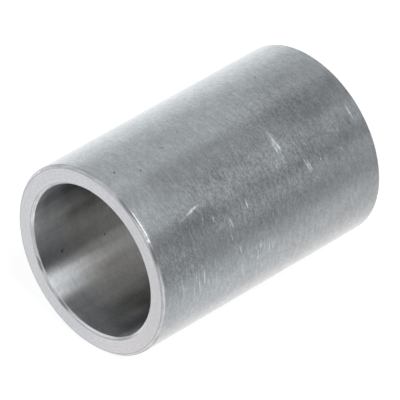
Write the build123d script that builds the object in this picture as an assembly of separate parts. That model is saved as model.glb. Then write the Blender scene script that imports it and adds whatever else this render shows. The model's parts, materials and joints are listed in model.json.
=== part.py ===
from build123d import *
import os

# A plain steel sleeve, turned from one piece of metal: a straight bore right
# through it, a ground outside diameter, two faced ends and a small 45 degree
# chamfer on each of its four rims. The ends of two shafts meet inside it.
#
# Frame: +Y runs along the bore and +Z is up. The origin is the centre of the
# bore, half way along the sleeve. All sizes are in millimetres.

OUTSIDE_DIAMETER = 40.0
BORE_DIAMETER = 32.0
LENGTH = 59.0
OUTSIDE_CHAMFER = 0.5
BORE_CHAMFER = 0.5


def wall_section():
    """Half section through the wall, with X as the radius and Y as the length."""
    wall_thickness = (OUTSIDE_DIAMETER - BORE_DIAMETER) / 2
    middle_radius = (OUTSIDE_DIAMETER + BORE_DIAMETER) / 4
    section = Pos(middle_radius, 0) * Rectangle(wall_thickness, LENGTH)
    bore_corners = section.vertices().group_by(Axis.X)[0]
    section = chamfer(bore_corners, BORE_CHAMFER)
    outside_corners = section.vertices().group_by(Axis.X)[-1]
    return chamfer(outside_corners, OUTSIDE_CHAMFER)


def coupling_sleeve():
    """The whole sleeve: its wall section turned about the bore axis."""
    sleeve = revolve(wall_section(), Axis.Y)
    sleeve.label = "coupling_sleeve"
    return sleeve


os.makedirs("parts", exist_ok=True)
export_step(coupling_sleeve(), "parts/coupling_sleeve.step")
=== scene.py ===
import bpy
import json
import math
from mathutils import Matrix, Vector


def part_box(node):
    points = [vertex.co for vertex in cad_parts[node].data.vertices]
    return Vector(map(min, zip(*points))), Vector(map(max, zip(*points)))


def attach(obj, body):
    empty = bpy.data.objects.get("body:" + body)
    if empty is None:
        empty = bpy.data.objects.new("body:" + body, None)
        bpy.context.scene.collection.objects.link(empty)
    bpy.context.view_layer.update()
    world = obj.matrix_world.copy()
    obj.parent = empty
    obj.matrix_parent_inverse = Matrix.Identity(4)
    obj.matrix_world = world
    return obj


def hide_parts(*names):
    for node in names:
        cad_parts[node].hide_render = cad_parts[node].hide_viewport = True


# A ground steel sleeve on a pale floor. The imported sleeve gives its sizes; this script gives it a
# fine mesh with worked rims, and the surfaces that grinding, facing and turning leave on steel.

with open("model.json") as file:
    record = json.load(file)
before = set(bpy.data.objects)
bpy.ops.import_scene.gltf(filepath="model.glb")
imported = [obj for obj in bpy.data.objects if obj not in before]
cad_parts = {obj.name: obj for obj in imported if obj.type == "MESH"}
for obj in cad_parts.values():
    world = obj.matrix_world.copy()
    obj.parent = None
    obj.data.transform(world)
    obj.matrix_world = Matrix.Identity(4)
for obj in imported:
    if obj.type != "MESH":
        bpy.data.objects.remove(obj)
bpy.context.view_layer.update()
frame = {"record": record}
MM = 0.001


# ---------------------------------------------------------------- sizes, from the frame

sleeve_low, sleeve_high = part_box("coupling_sleeve")
mounts = {mount["name"]: mount for mount in frame["record"]["mounts"]}
BORE_RADIUS = mounts["bore"]["dims"]["r_mm"] * MM
OUTSIDE_RADIUS = mounts["outside_diameter"]["dims"]["r_mm"] * MM
HALF_LENGTH = (sleeve_high.y - sleeve_low.y) / 2
RIM_CHAMFER = HALF_LENGTH - mounts["bore"]["dims"]["length_mm"] * MM / 2
EDGE_RADIUS = 0.06 * MM


# ---------------------------------------------------------------- the sleeve's mesh

AROUND = 640
ZONES = ("outside", "chamfer", "face", "bore")
STEPS = {"outside": 30, "chamfer": 4, "face": 10, "bore": 30}
CORNER_STEPS = 4

# Small dents in the rims, as (degrees round from straight up towards +X, half width in degrees,
# depth in mm). The rims are named by end and side of the wall.
NICKS = {
    ("near", "outside"): [(47, 0.9, 0.10), (41.5, 1.6, 0.05), (128, 1.2, 0.06), (262, 1.4, 0.06)],
    ("near", "bore"): [(243, 1.6, 0.10), (231, 1.0, 0.05), (75, 1.2, 0.04)],
    ("far", "outside"): [(102, 1.4, 0.08), (300, 1.1, 0.06), (214, 1.6, 0.05)],
    ("far", "bore"): [(20, 1.3, 0.05), (165, 1.5, 0.05)],
}
NICK_REACH = 0.75 * MM

# The rims' slow waviness, made of two waves: how deep it swings, the middle that it swings about,
# as a multiple of that depth, and how many swings each wave has in one turn.
WAVE_DEPTH = 0.018 * MM
WAVE_MIDDLE = 1.2
SLOW_SWINGS = 2
FAST_SWINGS = 5


def spread(start, end, steps):
    """Points from start to end, closer together at both ends, the last one left out."""
    return [start.lerp(end, (1 - math.cos(math.pi * step / steps)) / 2) for step in range(steps)]


def end_outline(side):
    """Corners of the wall's section at one end, from the outside to the bore, as (radius, y)."""
    end = side * HALF_LENGTH
    shoulder = side * (HALF_LENGTH - RIM_CHAMFER)
    return [
        Vector((OUTSIDE_RADIUS, shoulder)),
        Vector((OUTSIDE_RADIUS - RIM_CHAMFER, end)),
        Vector((BORE_RADIUS + RIM_CHAMFER, end)),
        Vector((BORE_RADIUS, shoulder)),
    ]


def section():
    """The wall's section as a closed loop of (point, zone of the run that follows it)."""
    near = end_outline(-1)
    far = end_outline(1)
    corners = near + far[::-1]
    zones = ["chamfer", "face", "chamfer", "bore", "chamfer", "face", "chamfer", "outside"]
    loop = []
    for index, corner in enumerate(corners):
        before = corners[index - 1]
        after = corners[(index + 1) % len(corners)]
        zone = zones[index]
        into = corner + (before - corner).normalized() * EDGE_RADIUS
        out = corner + (after - corner).normalized() * EDGE_RADIUS
        for step in range(CORNER_STEPS):
            share = step / CORNER_STEPS
            bent = into.lerp(corner, share).lerp(corner.lerp(out, share), share)
            loop.append((bent, zones[index - 1] if share < 0.5 else zone))
        stop = after + (corner - after).normalized() * EDGE_RADIUS
        guard = (after - corner).normalized() * EDGE_RADIUS
        loop.append((out, zone))
        loop += [(point, zone) for point in spread(out + guard, stop - guard, STEPS[zone])]
        loop.append((stop - guard, zone))
    return loop


def rim_wear(rim, angle):
    """How far a rim is worn back at an angle: a slow wave, and the rim's nicks."""
    phase = len(rim[0]) + 2 * len(rim[1])
    slow = math.sin(SLOW_SWINGS * angle + phase)
    fast = math.sin(FAST_SWINGS * angle + 2 * phase)
    wear = WAVE_DEPTH * (WAVE_MIDDLE + slow * fast)
    for middle, half_width, depth in NICKS[rim]:
        away = math.remainder(angle - math.radians(middle), math.tau)
        wear += depth * MM * math.exp(-((away / math.radians(half_width)) ** 2))
    return wear


def worn(point, angle):
    """A point of the section at an angle round the axis, pulled back where its rim is worn."""
    side = -1 if point.y < 0 else 1
    outer = point.x > (OUTSIDE_RADIUS + BORE_RADIUS) / 2
    radius = OUTSIDE_RADIUS - RIM_CHAMFER / 2 if outer else BORE_RADIUS + RIM_CHAMFER / 2
    rim_middle = Vector((radius, side * (HALF_LENGTH - RIM_CHAMFER / 2)))
    nearness = 1 - (point - rim_middle).length / NICK_REACH
    if nearness <= 0:
        return point
    rim = ("near" if side < 0 else "far", "outside" if outer else "bore")
    inward = Vector((-1 if outer else 1, -side)).normalized()
    return point + inward * rim_wear(rim, angle) * nearness


def make_sleeve():
    """The sleeve turned about the Y axis, with one material slot for each zone."""
    outline, zones = zip(*section())
    points = []
    for turn in range(AROUND):
        angle = math.tau * turn / AROUND
        for point in outline:
            radius, along = worn(point, angle)
            points.append((radius * math.sin(angle), along, radius * math.cos(angle)))
    faces = []
    slots = []
    count = len(outline)
    for turn in range(AROUND):
        here = turn * count
        there = (turn + 1) % AROUND * count
        for row in range(count):
            following = (row + 1) % count
            faces.append((here + row, here + following, there + following, there + row))
            slots.append(ZONES.index(zones[row]))
    mesh = bpy.data.meshes.new("sleeve_body")
    mesh.from_pydata(points, [], faces)
    mesh.polygons.foreach_set("material_index", slots)
    mesh.polygons.foreach_set("use_smooth", [True] * len(faces))
    mesh.update()
    sleeve = bpy.data.objects.new("sleeve_body", mesh)
    bpy.context.scene.collection.objects.link(sleeve)
    return sleeve


# ---------------------------------------------------------------- shader nodes

# Noise is moved this way by each pattern's shift, so that no two patterns are alike.
SHIFT_WAY = (1.0, 2.3, -1.7)
NOISE_ROUGHNESS = 0.55
QUARTER_TURN = 0.25
WHITE = (1.0, 1.0, 1.0, 1.0)

# How much longer a scratch's mark is than the scratch, because the mark fades out at its ends.
FADE_ROOM = 1.25


class Graph:
    """One material's shader nodes, made by short calls. Lengths are in millimetres."""

    def __init__(self, name):
        self.material = bpy.data.materials.new(name)
        self.material.use_nodes = True
        self.tree = self.material.node_tree
        self.shader = self.tree.nodes["Principled BSDF"]

    def feed(self, socket, value):
        if isinstance(value, bpy.types.NodeSocket):
            self.tree.links.new(value, socket)
        else:
            socket.default_value = value

    def node(self, kind, inputs, output=0, **settings):
        """A new node with its inputs fed, as one of its outputs."""
        node = self.tree.nodes.new("ShaderNode" + kind)
        for name, value in settings.items():
            setattr(node, name, value)
        for name, value in inputs.items():
            self.feed(node.inputs[name], value)
        return node.outputs[output]

    def math(self, operation, *values):
        return self.node("Math", dict(enumerate(values)), operation=operation)

    def vector(self, operation, first, second, output="Vector"):
        return self.node("VectorMath", {0: first, 1: second}, output, operation=operation)

    def join(self, x, y, z):
        return self.node("CombineXYZ", {0: x, 1: y, 2: z})

    def remap(self, value, low, high, to_low, to_high):
        """value moved smoothly from low..high to to_low..to_high, and held beyond them."""
        ends = {"From Min": low, "From Max": high, "To Min": to_low, "To Max": to_high}
        return self.node("MapRange", {"Value": value, **ends}, interpolation_type="SMOOTHSTEP")

    def curve(self, value, stops):
        """What straight lines between stops, each (value, result) in rising order, give value."""
        low = stops[0][0]
        high = stops[-1][0]
        peak = max(result for stop, result in stops)
        share = self.node("MapRange", {"Value": value, "From Min": low, "From Max": high})
        shade = self.node("ValToRGB", {"Fac": share})
        elements = shade.node.color_ramp.elements
        for stop, result in stops[1:-1]:
            elements.new((stop - low) / (high - low))
        for element, (stop, result) in zip(elements, stops):
            element.color = (result / peak, result / peak, result / peak, 1.0)
        return self.math("MULTIPLY", shade, peak)

    def place(self):
        """The surface point as (x, y, z) sockets, in millimetres."""
        metres = self.node("TexCoord", {}, "Object")
        scaled = self.vector("MULTIPLY", metres, (1 / MM, 1 / MM, 1 / MM))
        parts = self.node("SeparateXYZ", {0: scaled}, 0).node
        return parts.outputs[0], parts.outputs[1], parts.outputs[2]

    def noise(self, place, length, width, shift, detail=2.0):
        """Noise from 0 to 1, drawn out round the axis: place is (x, across the marks, z)."""
        x, across, z = place
        point = self.join(x, across, z)
        stretched = self.vector("MULTIPLY", point, (1 / length, 1 / width, 1 / length))
        moved = self.vector("ADD", stretched, [shift * part for part in SHIFT_WAY])
        inputs = {"Vector": moved, "Scale": 1.0, "Detail": detail, "Roughness": NOISE_ROUGHNESS}
        return self.node("TexNoise", inputs)

    def vary(self, tone, pattern, change, centre=0.5, reach=0.2):
        """tone lowered and raised by up to change, as pattern goes from reach below its centre to
        reach above it."""
        share = self.remap(pattern, centre - reach, centre + reach, 1 - change, 1 + change)
        return self.math("MULTIPLY", tone, share)

    def within(self, tone, pattern, factor):
        """tone times factor where pattern is 1, and unchanged where it is 0."""
        return self.math("MULTIPLY", tone, self.remap(pattern, 0.0, 1.0, 1.0, factor))

    def mix(self, share, first, second):
        """A colour that goes from first to second as share goes from 0 to 1. The Mix node has its
        colours in inputs 6 and 7 and output 2."""
        return self.node("Mix", {0: share, 6: first, 7: second}, 2, data_type="RGBA")

    def finish(self, base, tone, roughness, bump_height, bump_depth):
        """Steel of a base colour times tone, with roughness and bump, as its material."""
        colour = self.node("VectorMath", {0: base, "Scale": tone}, operation="SCALE")
        bump = {"Height": bump_height, "Distance": bump_depth * MM, "Strength": 1.0}
        self.feed(self.shader.inputs["Base Color"], colour)
        self.feed(self.shader.inputs["Roughness"], roughness)
        self.feed(self.shader.inputs["Normal"], self.node("Bump", bump))
        self.shader.inputs["Metallic"].default_value = 1.0
        return self.material

    def brushed(self, amount):
        """Highlights that spread along the axis, across marks that run round it."""
        tangent = self.node("Tangent", {}, direction_type="RADIAL", axis="Y")
        self.feed(self.shader.inputs["Tangent"], tangent)
        self.shader.inputs["Anisotropic"].default_value = amount
        self.shader.inputs["Anisotropic Rotation"].default_value = QUARTER_TURN


def unrolled(graph, place, radius):
    """The surface rolled out flat, as (arc round from straight up towards +X, y, 0) in mm."""
    x, y, z = place
    arc = graph.math("MULTIPLY", graph.math("ARCTAN2", x, z), radius / MM)
    return graph.join(arc, y, 0.0)


def mark(graph, flat, radius, around, along, length, width, tilt=0.0, soft=0.5):
    """An elliptical mark on the rolled-out surface, 1 inside and 0 outside, that carries on where
    the two sides of the surface meet. around is in degrees, along is y in mm, and tilt turns its
    length from round the axis towards +Y, in degrees. soft is the share of it that fades out."""
    middle = (math.radians(around) * radius / MM, along, 0.0)
    # Only the way round carries on. The limits along the axis are out of every mark's reach.
    half_turn = math.pi * radius / MM
    beyond = 4 * HALF_LENGTH / MM
    limits = {1: (half_turn, beyond, beyond), 2: (-half_turn, -beyond, -beyond)}
    offset = graph.vector("SUBTRACT", flat, middle)
    apart = graph.node("VectorMath", {0: offset, **limits}, operation="WRAP")
    lean = math.radians(tilt)
    long_way = (2 / length * math.cos(lean), 2 / length * math.sin(lean), 0.0)
    short_way = (-2 / width * math.sin(lean), 2 / width * math.cos(lean), 0.0)
    down_length = graph.vector("DOT_PRODUCT", apart, long_way, "Value")
    down_width = graph.vector("DOT_PRODUCT", apart, short_way, "Value")
    distance = graph.vector("LENGTH", graph.join(down_length, down_width, 0.0), (0, 0, 0), "Value")
    return graph.remap(distance, 1 - soft, 1.0, 1.0, 0.0)


def between(radius, around, along, end_around, end_along, width):
    """A scratch from one place to another, as the values that mark takes up to tilt."""
    arc = math.radians(end_around - around) * radius / MM
    rise = end_along - along
    middle = ((around + end_around) / 2, (along + end_along) / 2)
    length = FADE_ROOM * math.hypot(arc, rise)
    return *middle, length, width, math.degrees(math.atan2(rise, arc))


def all_marks(graph, flat, radius, marks, soft):
    """The strongest of several marks at each point, each given as its strength and the values
    that mark takes, from around to tilt."""
    total = 0.0
    for strength, *values in marks:
        one = graph.math("MULTIPLY", mark(graph, flat, radius, *values, soft=soft), strength)
        total = graph.math("MAXIMUM", one, total)
    return total


# ---------------------------------------------------------------- steel surfaces

# The steel's colour on each surface. The bore's goes from one to the other, by depth in mm.
OUTSIDE_COLOUR = (0.44, 0.47, 0.49)
CHAMFER_COLOUR = (0.6, 0.612, 0.628)
FACE_COLOUR = (0.55, 0.555, 0.578)
MOUTH_COLOUR = (0.485, 0.505, 0.53, 1.0)
MOUTH_DEPTH = 2.0
DEEP_COLOUR = (0.502, 0.5, 0.486, 1.0)
DEEP_DEPTH = 14.0


def near_end(graph):
    """1 on the near half of the sleeve and 0 on the far half, with a short change between."""
    return graph.remap(graph.place()[1], -1.0, 1.0, 1.0, 0.0)


# The stretch of the near end's outer edge that is burnished: its middle in degrees round, its
# length and width in mm, and what roughness is multiplied by there.
BURNISHED_MIDDLE = 43
BURNISHED_LENGTH = 11.0
BURNISHED_WIDTH = 0.2
BURNISHED_FACTOR = 0.3


def burnished(graph, roughness, flat, along):
    """roughness with the burnished edge, which lies at along on flat, made smoother."""
    stretch = (BURNISHED_MIDDLE, along, BURNISHED_LENGTH, BURNISHED_WIDTH)
    edge = graph.math("MULTIPLY", mark(graph, flat, OUTSIDE_RADIUS, *stretch), near_end(graph))
    return graph.within(roughness, edge, BURNISHED_FACTOR)


# Scratches on the outside, as (strength, degrees round and y at one end, and at the other, width),
# with y and width in mm. Wide faint ones are the haze round the worst of them.
SCRATCHES = [
    (0.8, 29, 7.6, 45.5, 7.5, 0.9),
    (0.9, 36, 7.0, 45.6, 7.0, 0.6),
    (1.0, 38, 7.9, 45, 7.8, 0.6),
    (0.5, 29.4, 6.5, 37.4, 5.9, 0.4),
    (0.3, 45, 7.2, 57, 7.3, 0.5),
    (0.35, 47, 5.7, 53, 5.0, 0.9),
    (1.3, 54.0, 11.65, 64.4, 12.4, 0.64),
    (0.9, 55.5, 12.3, 63.3, 12.8, 0.5),
    (0.35, 64.5, 12.5, 69.8, 14.1, 0.5),
    (1.0, 47.2, -15.1, 50.0, -19.4, 0.8),
    (0.6, 49.6, -18.6, 51.2, -21.3, 0.4),
    (0.8, 39, 26.6, 50, 26.5, 0.4),
    (0.7, 48, 22.2, 51, 22.0, 0.6),
    (0.7, 58, 15.5, 60, 15.4, 0.6),
    (0.6, 59, 21.0, 61, 21.2, 0.6),
    (1.0, 53.6, -15.6, 59.2, -16.1, 0.5),
    (0.9, 56.5, -13.3, 61, -13.6, 0.5),
    (0.7, 79.4, -9.1, 87, -8.5, 0.5),
    (0.45, 29, 7.5, 47, 7.4, 2.2),
    (0.4, 54, 12.0, 65, 12.6, 1.7),
    (0.8, 62, -9.9, 70, -9.4, 0.6),
    (0.5, 63.5, -10.4, 69, -10.0, 0.36),
    (0.9, 57.3, -4.7, 64, -4.9, 0.5),
    (0.6, 70, -10.5, 76, -10.4, 0.4),
    (0.4, 90, -9.0, 107, -7.2, 0.3),
    (0.5, 69, -24.7, 98, -24.0, 0.3),
    (0.9, 81, -18.5, 92.4, -18.7, 0.4),
    (0.35, 82, -16.8, 104, -15.9, 0.26),
    (0.4, 74, -21.6, 88, -21.0, 0.26),
    (0.3, 78, -13.0, 98, -12.4, 0.26),
    (0.7, 140, 3.8, 160, 4.6, 0.36),
    (0.8, 199, -11.2, 212, -12.4, 0.4),
    (0.6, 224, 14.8, 240, 15.3, 0.34),
    (0.8, 282, 1.2, 287, 5.2, 0.4),
    (0.6, 311, -6.0, 325, -6.1, 0.34),
]

# Pits, as (strength, degrees round, y, length, width, tilt), with the tilt in degrees and the
# rest in mm. The areas below are given in the same way. A strength over 1 keeps a mark at its
# full strength further out.
PITS = [
    (1.0, 7.3, -25.4, 0.6, 0.5, 0),
    (1.0, 14.6, -20.8, 0.6, 0.42, 0),
    (0.7, -2.4, -18.3, 0.4, 0.3, 0),
    (0.8, 8.4, -13.1, 0.95, 0.3, 38),
    (0.7, 4.0, -7.7, 0.4, 0.3, 0),
    (0.8, -3.5, 16.2, 0.44, 0.36, 0),
    (0.7, 27.3, -20.2, 0.7, 0.3, 20),
    (0.8, 120, 9.0, 0.46, 0.36, 0),
    (0.7, 190, -4.0, 0.4, 0.32, 0),
    (0.8, 246, 7.0, 0.44, 0.34, 0),
    (0.7, 305, 20.0, 0.42, 0.32, 0),
]

# Broad darker and brighter areas, partly the steel's uneven tone and partly painted reflection:
# painted shade in the darker ones, painted sheen in the brighter ones, and a painted highlight along
# the near rim.
DIM_TONE_AND_SHADE_AREAS = [
    (1.5, 20, 20, 22, 36, 0),
    (1.0, 57, -20, 13, 30, 0),
    (0.9, 42, -4, 12, 34, 0),
    (0.8, 45, 15, 15, 26, 0),
    (0.5, 46, -15, 7, 12, 0),
    (1.3, 48.5, 23.5, 10, 9, 0),
    (0.5, 100, 22, 10, 30, 0),
    (0.5, 160, 8, 16, 20, 15),
    (0.5, 250, -12, 14, 24, -10),
]
BRIGHT_TONE_AND_SHEEN_AREAS = [
    (1.2, 28, -27, 15, 20, 0),
    (0.3, 98, -14, 8, 26, 0),
    (0.4, 71, 22, 7, 22, 0),
    (0.5, 70, 27, 10, 9, 0),
    (1.0, 38, -28.75, 20, 1.3, 0),
    (0.3, 200, -14, 14, 18, 0),
]

# Areas where the grinding marks stand out, and areas crossed by short bright rubs.
COARSE_AREAS = [
    (1.0, 52, 0, 26, 74, 0),
    (0.9, 70, -24, 18, 24, 0),
    (0.6, 20, 12, 16, 40, 0),
    (0.7, 170, -6, 22, 50, 10),
    (0.8, 262, 6, 24, 60, 0),
]
RUBBED_AREAS = [
    (1.0, 91, -4, 6, 18, 0),
    (0.9, 86, -19, 13, 16, 0),
    (0.6, 58, -12, 9, 12, 0),
    (0.6, 215, 4, 12, 20, 0),
]


def ground_steel():
    """The outside: ground round the axis, blotchy and grainy, scratched and pitted by handling, with
    broad patches that are partly uneven tone and partly painted shade and painted reflection.
    """
    graph = Graph("ground_steel")
    graph.brushed(0.5)
    place = graph.place()
    flat = unrolled(graph, place, OUTSIDE_RADIUS)
    cloud = graph.noise(place, length=9, width=9, shift=3.1, detail=3.0)
    mottle = graph.noise(place, length=1.5, width=0.9, shift=11.0, detail=3.0)
    lines = graph.noise(place, length=2.4, width=0.34, shift=5.2)
    grain = graph.noise(place, length=0.5, width=0.36, shift=8.4)
    gaps = graph.noise(place, length=0.9, width=0.3, shift=2.6, detail=1.0)
    rub_lines = graph.noise(place, length=3.0, width=0.26, shift=14.0, detail=1.0)

    coarse = all_marks(graph, flat, OUTSIDE_RADIUS, COARSE_AREAS, soft=0.8)
    coarse = graph.remap(coarse, 0.0, 1.0, 0.42, 1.0)
    grinding = graph.math("MULTIPLY", graph.math("SUBTRACT", lines, 0.5), coarse)
    speckle = graph.math("MULTIPLY", graph.math("SUBTRACT", grain, 0.5), coarse)
    scratch_marks = [(strength, *between(OUTSIDE_RADIUS, *ends)) for strength, *ends in SCRATCHES]
    scratches = all_marks(graph, flat, OUTSIDE_RADIUS, scratch_marks, soft=0.7)
    scratches = graph.math("MULTIPLY", scratches, graph.remap(gaps, 0.3, 0.55, 0.7, 1.0))
    pits = all_marks(graph, flat, OUTSIDE_RADIUS, PITS, soft=0.5)
    # The darker and brighter areas are partly the steel's uneven tone and partly painted shade and
    # painted reflection.
    dim_tone_and_shade = all_marks(graph, flat, OUTSIDE_RADIUS, DIM_TONE_AND_SHADE_AREAS, soft=1.0)
    bright_tone_and_sheen = all_marks(graph, flat, OUTSIDE_RADIUS, BRIGHT_TONE_AND_SHEEN_AREAS, soft=1.0)
    rubbed = all_marks(graph, flat, OUTSIDE_RADIUS, RUBBED_AREAS, soft=0.9)
    rubs = graph.math("MULTIPLY", rubbed, graph.remap(rub_lines, 0.55, 0.68, 0.0, 1.0))

    tone = graph.vary(1.0, cloud, 0.03)
    tone = graph.vary(tone, mottle, 0.07)
    tone = graph.vary(tone, grinding, 0.12, centre=0.0)
    tone = graph.vary(tone, speckle, 0.2, centre=0.0)
    # Painted shade and painted reflection come in here with the darker and brighter areas.
    for pattern, factor in (
        (dim_tone_and_shade, 0.8),
        (bright_tone_and_sheen, 1.32),
        (rubs, 1.42),
        (scratches, 1.9),
        (pits, 0.25),
    ):
        tone = graph.within(tone, pattern, factor)
    roughness = graph.remap(graph.math("ADD", cloud, lines), 0.7, 1.3, 0.345, 0.375)
    shoulder = (RIM_CHAMFER - HALF_LENGTH) / MM
    roughness = burnished(graph, roughness, flat, shoulder)
    height = graph.math("MULTIPLY", mottle, 0.4)
    for pattern, rise in ((grinding, 0.8), (speckle, 0.8), (scratches, -1.0), (pits, -4.0)):
        height = graph.math("ADD", height, graph.math("MULTIPLY", pattern, rise))
    return graph.finish(OUTSIDE_COLOUR, tone, roughness, height, bump_depth=0.01)


# Painted shade and painted glints on the near end's face and rims, as (strength, degrees round,
# radius, length, width, tilt). Lengths are counted at the outside's radius.
RIM_SHADOWS = [
    (1.0, 30, 19.76, 9.0, 0.76, 0),
    (1.0, 59.6, 19.77, 7.0, 0.7, 0),
    (0.45, 152, 19.78, 32.0, 1.0, 0),
    (1.1, 209, 16.3, 6.4, 0.6, 0),
    (0.4, 225, 16.55, 6.0, 0.4, 0),
    (1.1, 241, 16.36, 6.4, 0.56, 0),
    (0.5, 285, 16.6, 24.0, 0.3, 0),
]
RIM_GLINTS = [
    (0.7, 44, 19.94, 7.0, 0.2, 0),
    (0.5, 47, 19.78, 3.0, 0.34, 0),
    (1.3, 51.3, 19.95, 1.2, 0.8, 0),
    (0.6, 85, 19.95, 18.0, 1.0, 0),
    (1.0, 118, 16.28, 20.0, 0.9, 0),
    (0.4, 345, 19.8, 10.0, 0.5, 0),
    (0.9, 172, 16.22, 24.0, 0.6, 0),
    (0.4, 310, 19.8, 14.0, 0.8, 0),
    (0.7, 225, 16.08, 3.4, 0.2, 0),
    (0.4, 286, 16.12, 16.0, 0.3, 0),
]


def radius_of(graph, x, z):
    """How far a point is from the bore's axis."""
    return graph.vector("LENGTH", graph.join(x, z, 0.0), (0, 0, 0), "Value")


def rim_marks(graph, tone, place):
    """tone with the near end's painted rim shadows and painted glints, at place as (x, radius, z)."""
    near = near_end(graph)
    flat = unrolled(graph, place, OUTSIDE_RADIUS)
    for marks, factor in ((RIM_SHADOWS, 0.48), (RIM_GLINTS, 1.6)):
        stretches = all_marks(graph, flat, OUTSIDE_RADIUS, marks, soft=0.8)
        tone = graph.within(tone, graph.math("MULTIPLY", stretches, near), factor)
    return tone


def chamfer_steel():
    """The four chamfers: satin, with rings from the tool and a few burnished stretches."""
    graph = Graph("chamfer_steel")
    x, z = graph.place()[::2]
    place = (x, radius_of(graph, x, z), z)
    flat = unrolled(graph, place, OUTSIDE_RADIUS)
    rings = graph.noise(place, length=7.0, width=0.12, shift=2.0)
    patches = graph.noise(place, length=3.0, width=0.5, shift=6.0, detail=3.0)
    grain = graph.noise(place, length=0.35, width=0.2, shift=9.0)

    tone = graph.vary(1.0, patches, 0.1)
    tone = graph.vary(tone, rings, 0.08)
    tone = graph.vary(tone, grain, 0.05, reach=0.25)
    # Painted rim shadows and painted glints at the near end.
    tone = rim_marks(graph, tone, place)
    lip = OUTSIDE_RADIUS / MM
    tone = graph.math("MULTIPLY", tone, graph.remap(place[1], lip - 0.22, lip - 0.05, 1.0, 0.8))
    roughness = graph.remap(patches, 0.35, 0.65, 0.66, 0.56)
    roughness = burnished(graph, roughness, flat, lip)
    height = graph.math("ADD", rings, graph.math("MULTIPLY", grain, 0.6))
    return graph.finish(CHAMFER_COLOUR, tone, roughness, height, bump_depth=0.008)


def faced_steel():
    """The two end faces: matte, with faint facing rings and a fine mottle."""
    graph = Graph("faced_steel")
    x, y, z = graph.place()
    radius = radius_of(graph, x, z)
    place = (x, radius, z)
    rings = graph.noise(place, length=12.0, width=0.16, shift=4.0, detail=3.0)
    mottle = graph.noise(place, length=0.8, width=0.6, shift=7.0, detail=3.0)
    grain = graph.noise((x, z, y), length=0.22, width=0.22, shift=1.0)

    tone = graph.vary(1.0, rings, 0.03)
    tone = graph.vary(tone, mottle, 0.07)
    tone = graph.vary(tone, grain, 0.08, reach=0.25)
    inner = (BORE_RADIUS + RIM_CHAMFER) / MM
    outer = (OUTSIDE_RADIUS - RIM_CHAMFER) / MM
    # A dark outer edge, a slightly brighter ring beside the bore, and a dark edge at the bore.
    for start, stop, before, after in (
        (outer - 0.28, outer - 0.1, 1.0, 0.74),
        (inner + 0.2, inner + 0.7, 1.05, 1.0),
        (inner + 0.08, inner + 0.24, 0.82, 1.0),
    ):
        tone = graph.math("MULTIPLY", tone, graph.remap(radius, start, stop, before, after))
    # Painted rim shadows and painted glints at the near end.
    tone = rim_marks(graph, tone, place)
    roughness = graph.remap(mottle, 0.3, 0.7, 0.56, 0.64)
    height = graph.math("ADD", rings, graph.math("MULTIPLY", grain, 0.8))
    return graph.finish(FACE_COLOUR, tone, roughness, height, bump_depth=0.006)


# Pits in the bore, and areas of painted shade and painted highlight in it, given as the outside's
# are.
BORE_PITS = [
    (1.0, 241.3, -23.6, 0.9, 0.62, 50),
    (0.6, 242.0, -23.1, 0.8, 0.34, 55),
    (1.0, 236.8, -12.8, 0.5, 0.46, 0),
    (0.6, 262, -20.0, 0.4, 0.3, 0),
    (0.7, 30, 6.0, 0.5, 0.4, 0),
    (0.6, 120, 14.0, 0.4, 0.34, 0),
]
BORE_SHADE_AREAS = [
    (1.0, 290, -20, 16, 32, 0),
    (0.7, 304, -27, 10, 12, 0),
    (0.9, 264, -16, 5, 22, 0),
    (1.0, 182, -17, 9, 18, 0),
    (0.8, 143, -29, 5, 7, 0),
    (0.6, 60, 12, 10, 30, 0),
]
BORE_HIGHLIGHT_AREAS = [
    (1.0, 226, -22, 4, 44, 0),
    (0.7, 235, -13, 3, 24, 0),
    (0.3, 196, -18, 3, 34, 0),
    (1.0, 193, -29, 9, 5, 0),
    (0.5, 272, -28.5, 10, 5, 0),
    (0.35, 110, 16, 3, 24, 0),
]


def bored_steel():
    """The bore: turned, with fine rings that draw highlights out along the axis, and with painted
    shade and a painted highlight streak.
    """
    graph = Graph("bored_steel")
    graph.brushed(1.0)
    place = graph.place()
    flat = unrolled(graph, place, BORE_RADIUS)
    rings = graph.noise(place, length=9.0, width=0.36, shift=1.5)
    bands = graph.noise(place, length=10.0, width=2.4, shift=4.5)
    draws = graph.noise(place, length=2.6, width=60.0, shift=12.0)
    mottle = graph.noise(place, length=0.9, width=0.6, shift=9.5, detail=3.0)
    pits = all_marks(graph, flat, BORE_RADIUS, BORE_PITS, soft=0.5)
    # The darker areas here are painted shade, and the brighter ones are painted highlight, the long
    # one being the bore's light streak.
    dim_tone_and_shade = all_marks(graph, flat, BORE_RADIUS, BORE_SHADE_AREAS, soft=1.0)
    bright_tone_and_sheen = all_marks(graph, flat, BORE_RADIUS, BORE_HIGHLIGHT_AREAS, soft=1.0)

    tone = graph.vary(1.0, rings, 0.025)
    tone = graph.vary(tone, bands, 0.04)
    tone = graph.vary(tone, draws, 0.12)
    tone = graph.vary(tone, mottle, 0.07)
    for pattern, factor in ((pits, 0.25), (dim_tone_and_shade, 0.62), (bright_tone_and_sheen, 1.35)):
        tone = graph.within(tone, pattern, factor)
    depth = graph.math("SUBTRACT", HALF_LENGTH / MM, graph.math("ABSOLUTE", place[1]))
    share = graph.remap(depth, MOUTH_DEPTH, DEEP_DEPTH, 0.0, 1.0)
    base = graph.mix(share, MOUTH_COLOUR, DEEP_COLOUR)
    roughness = graph.remap(bands, 0.3, 0.7, 0.33, 0.37)
    height = graph.math("SUBTRACT", rings, graph.math("MULTIPLY", pits, 3.0))
    return graph.finish(base, tone, roughness, height, bump_depth=0.002)


sleeve = make_sleeve()
surfaces = {
    "outside": ground_steel,
    "chamfer": chamfer_steel,
    "face": faced_steel,
    "bore": bored_steel,
}
for zone in ZONES:
    sleeve.data.materials.append(surfaces[zone]())
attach(sleeve, "root")
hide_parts("coupling_sleeve")


# ---------------------------------------------------------------- floor, lights and camera

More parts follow.
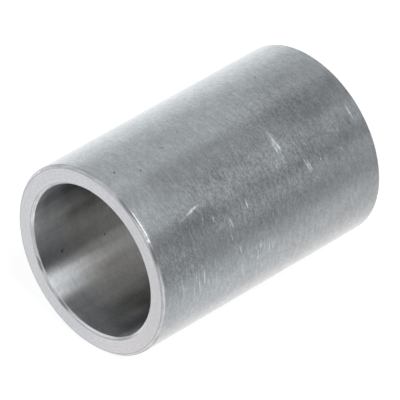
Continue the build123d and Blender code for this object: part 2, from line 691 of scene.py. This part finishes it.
FLOOR_HALF = 6.0
FLOOR_GREY = (0.25, 0.25, 0.25, 1.0)

# The floor's glow to the eye: less near the sleeve, where the lights make up the rest of its
# white, and more where they fade, between two distances from the sleeve in mm.
GLOW_NEAR = 0.84
GLOW_FAR = 1.0
FADE_START = 200.0
FADE_END = 1500.0

# The warm strip of the floor that the steel sees, in mm: the x of its middle, how far to each side
# its colour is full and where it ends, and how much wider it gets, from one y to another.
WARM_WHITE = (1.0, 0.945, 0.917, 1.0)
WARM_MIDDLE = 12.0
WARM_FULL = 4.0
WARM_END = 16.0
WARM_WIDENING = 12.0
WIDENING_START = 5.0
WIDENING_END = 35.0

# The floor's glow as the steel sees it, as (x in mm, strength).
FLOOR_GLOW = [
    (-90, 1.35),
    (-45, 1.15),
    (-8, 1.05),
    (8, 1.27),
    (14, 1.22),
    (17, 1.0),
    (21, 0.8),
    (34, 0.63),
    (45, 0.48),
    (69, 0.30),
    (105, 0.12),
]


def make_floor():
    """A pale floor, even to the eye, that the steel sees dimmer to the right of the sleeve."""
    corners = [(-1, -1), (1, -1), (1, 1), (-1, 1)]
    mesh = bpy.data.meshes.new("floor")
    points = [(x * FLOOR_HALF, y * FLOOR_HALF, sleeve_low.z) for x, y in corners]
    mesh.from_pydata(points, [], [(0, 1, 2, 3)])
    floor = bpy.data.objects.new("floor", mesh)
    bpy.context.scene.collection.objects.link(floor)
    graph = Graph("pale_floor")
    graph.shader.inputs["Base Color"].default_value = FLOOR_GREY
    graph.shader.inputs["Roughness"].default_value = 1.0
    graph.shader.inputs["Specular IOR Level"].default_value = 0.0
    x, y = graph.place()[:2]
    aside = graph.math("ABSOLUTE", graph.math("SUBTRACT", x, WARM_MIDDLE))
    widening = graph.remap(y, WIDENING_START, WIDENING_END, 0.0, WARM_WIDENING)
    aside = graph.math("SUBTRACT", aside, widening)
    tint = graph.mix(graph.remap(aside, WARM_FULL, WARM_END, 1.0, 0.0), WHITE, WARM_WHITE)
    away = graph.vector("LENGTH", graph.join(x, y, 0.0), (0, 0, 0), "Value")
    glow_seen = graph.remap(away, FADE_START, FADE_END, GLOW_NEAR, GLOW_FAR)
    glow_reflected = graph.curve(x, FLOOR_GLOW)
    eye = graph.node("LightPath", {}, "Is Camera Ray")
    glows = {0: eye, 2: glow_reflected, 3: glow_seen}
    glow = graph.node("Mix", glows, data_type="FLOAT")
    graph.feed(graph.shader.inputs["Emission Strength"], glow)
    graph.feed(graph.shader.inputs["Emission Color"], graph.mix(eye, tint, WHITE))
    mesh.materials.append(graph.material)


LIGHT_DISTANCE = 2.0

# Softboxes round the sleeve, as (name, angle around, angle forward, width, height, radiance),
# with every angle in degrees.
SOFTBOXES = [
    ("key", 40.8, 8, 37, 34, 6.4),
    ("front", 25, 52, 60, 24, 0.5),
    ("front_left", -30, 40, 50, 30, 1.2),
    ("top", 0, -25, 30, 60, 0.36),
    ("left", -45, -20, 60, 70, 0.72),
    ("low_left", -90, -20, 30, 70, 0.96),
    ("right", 90, -25, 30, 50, 0.55),
    ("back", 0, -75, 40, 20, 1.8),
    ("back_right", 90, -62, 60, 20, 0.75),
]


def soft_light(name, around, forward, width, height, radiance):
    """A flat softbox facing the sleeve, as bright all over. around is its angle round the bore
    axis from straight up towards +X, forward its angle towards the near end; both in degrees,
    as are the width around and the height along."""
    data = bpy.data.lights.new(name + "_softbox", "AREA")
    data.shape = "RECTANGLE"
    data.size = 2 * LIGHT_DISTANCE * math.tan(math.radians(width / 2))
    data.size_y = 2 * LIGHT_DISTANCE * math.tan(math.radians(height / 2))
    data.energy = radiance * math.pi * data.size * data.size_y
    light = bpy.data.objects.new(data.name, data)
    turn = math.radians(around)
    lean = math.radians(forward)
    side = Vector((math.cos(turn), 0, -math.sin(turn)))
    out = Vector((math.sin(turn) * math.cos(lean), -math.sin(lean), math.cos(turn) * math.cos(lean)))
    light.matrix_world = Matrix((side, out.cross(side), out)).transposed().to_4x4()
    light.location = out * LIGHT_DISTANCE
    bpy.context.scene.collection.objects.link(light)


WORLD_GLOW = 0.05


def make_world():
    """A white surround to the eye, and a dim one to the steel."""
    world = bpy.data.worlds.new("studio")
    world.use_nodes = True
    tree = world.node_tree
    path = tree.nodes.new("ShaderNodeLightPath")
    share = tree.nodes.new("ShaderNodeMapRange")
    share.inputs["To Min"].default_value = WORLD_GLOW
    share.inputs["To Max"].default_value = 1.0
    tree.links.new(path.outputs["Is Camera Ray"], share.inputs["Value"])
    background = tree.nodes["Background"]
    background.inputs["Color"].default_value = WHITE
    tree.links.new(share.outputs["Result"], background.inputs["Strength"])
    bpy.context.scene.world = world


CAMERA_AZIMUTH = 45.25
CAMERA_ELEVATION = 35.13
CAMERA_DISTANCE = 1.183
LENS = 551.8
SENSOR_WIDTH = 36.0
CLIP_END = 10.0
AIM_RIGHT = -0.05 * MM
AIM_UP = -0.25 * MM


def toward(azimuth, elevation):
    """Unit vector to a place around the sleeve, as the camera views count them, in degrees."""
    turn = math.radians(azimuth)
    lift = math.radians(elevation)
    return Vector((math.sin(turn) * math.cos(lift), -math.cos(turn) * math.cos(lift), math.sin(lift)))


def make_camera():
    """A long lens at the sleeve's upper right, aimed a touch below its centre."""
    data = bpy.data.cameras.new("camera")
    data.lens = LENS
    data.sensor_width = SENSOR_WIDTH
    data.clip_end = CLIP_END
    camera = bpy.data.objects.new("camera", data)
    away = toward(CAMERA_AZIMUTH, CAMERA_ELEVATION)
    camera.rotation_mode = "QUATERNION"
    camera.rotation_quaternion = away.to_track_quat("Z", "Y")
    right = camera.rotation_quaternion @ Vector((1, 0, 0))
    up = camera.rotation_quaternion @ Vector((0, 1, 0))
    aim = right * AIM_RIGHT + up * AIM_UP
    camera.location = aim + away * CAMERA_DISTANCE
    bpy.context.scene.collection.objects.link(camera)
    bpy.context.scene.camera = camera


make_floor()
make_world()
for softbox in SOFTBOXES:
    soft_light(*softbox)
make_camera()
bpy.context.scene.view_settings.view_transform = "Standard"
